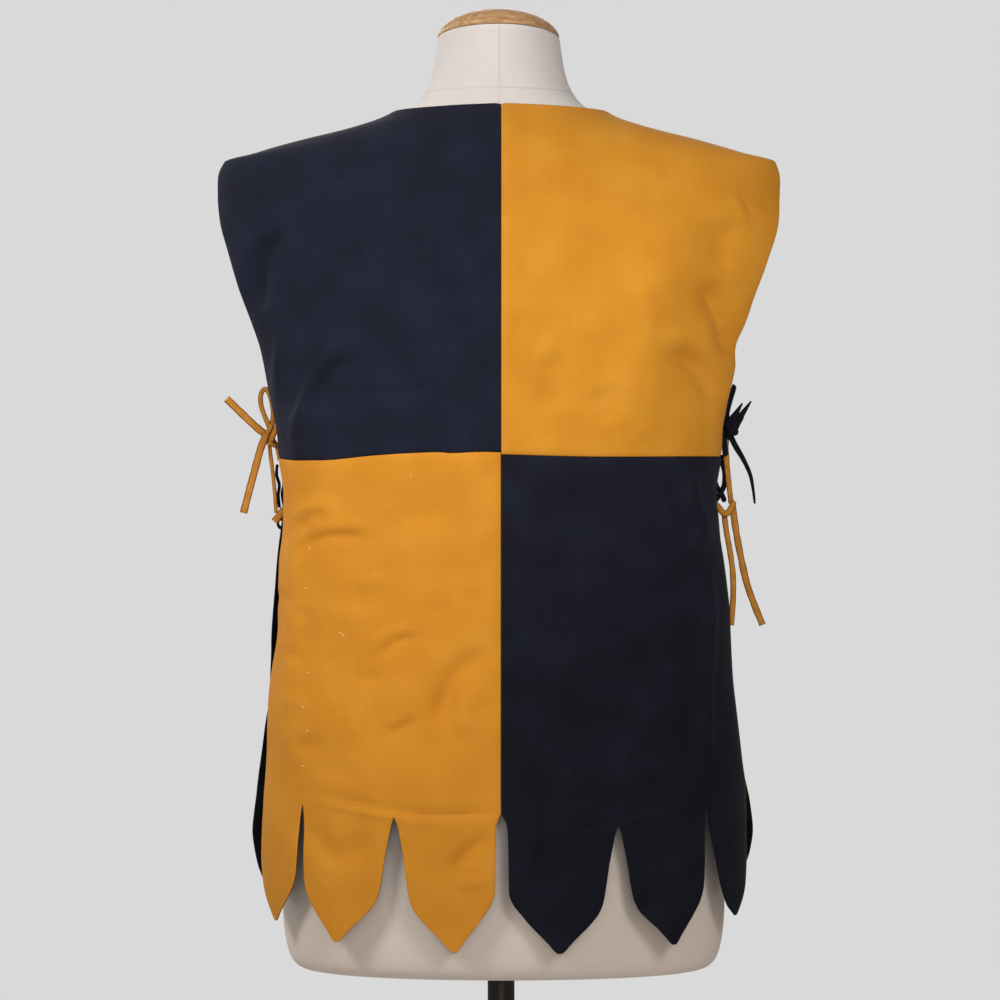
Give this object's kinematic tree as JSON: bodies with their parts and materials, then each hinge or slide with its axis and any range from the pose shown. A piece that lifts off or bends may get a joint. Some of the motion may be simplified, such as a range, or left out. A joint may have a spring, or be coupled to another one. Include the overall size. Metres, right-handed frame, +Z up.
{
  "type": "quartered tabard on a dress form",
  "caption": "Sleeveless quartered tabard with a dagged hem and tied sides, worn by a limbless dress form on a pole stand.",
  "frame": {"origin": "centre of the stand base's underside, on the floor", "axes": "+Z up along the pole; the wearer's back faces -Y and the wearer's left side is at -X"},
  "size_m": [0.5228, 0.3392, 1.5769],
  "materials": {
    "navy_canvas": "matte cotton canvas, dyed navy",
    "yellow_canvas": "matte cotton canvas, dyed golden yellow",
    "navy_tie": "matte cotton tube",
    "yellow_tie": "matte cotton tube",
    "form_linen": "matte linen jersey, stretched smooth",
    "cap_wood": "satin turned wood",
    "stand_steel": "satin dark brown paint"
  },
  "bodies": {
    "root": {"back_upper_left": "navy_canvas", "back_upper_right": "yellow_canvas", "back_lower_left": "yellow_canvas", "back_lower_right": "navy_canvas", "front_upper_left": "yellow_canvas", "front_upper_right": "navy_canvas", "front_lower_left": "navy_canvas", "front_lower_right": "yellow_canvas", "form_torso": "form_linen", "form_cap": "cap_wood", "stand_pole": "stand_steel", "stand_base": "stand_steel", "tie_left_knot": "yellow_tie", "tie_left_loop": "yellow_tie", "tie_left_end_up": "yellow_tie", "tie_left_end_down": "yellow_tie", "tie_left_strand": "yellow_tie", "tie_left_root": "yellow_tie", "tie_left_band": "yellow_tie", "tie_right_knot": "navy_tie", "tie_right_loop": "navy_tie", "tie_right_tip_short": "navy_tie", "tie_right_tip_long": "navy_tie", "tie_right_tail": "navy_tie", "tie_right_strand": "yellow_tie", "tie_right_band": "yellow_tie", "tie_right_end_inner": "yellow_tie", "tie_right_end_outer": "yellow_tie", "lace_left": "navy_tie", "lace_left_short": "navy_tie", "lace_left_eye": "navy_tie", "lace_right": "navy_tie"}
  },
  "joints": []
}
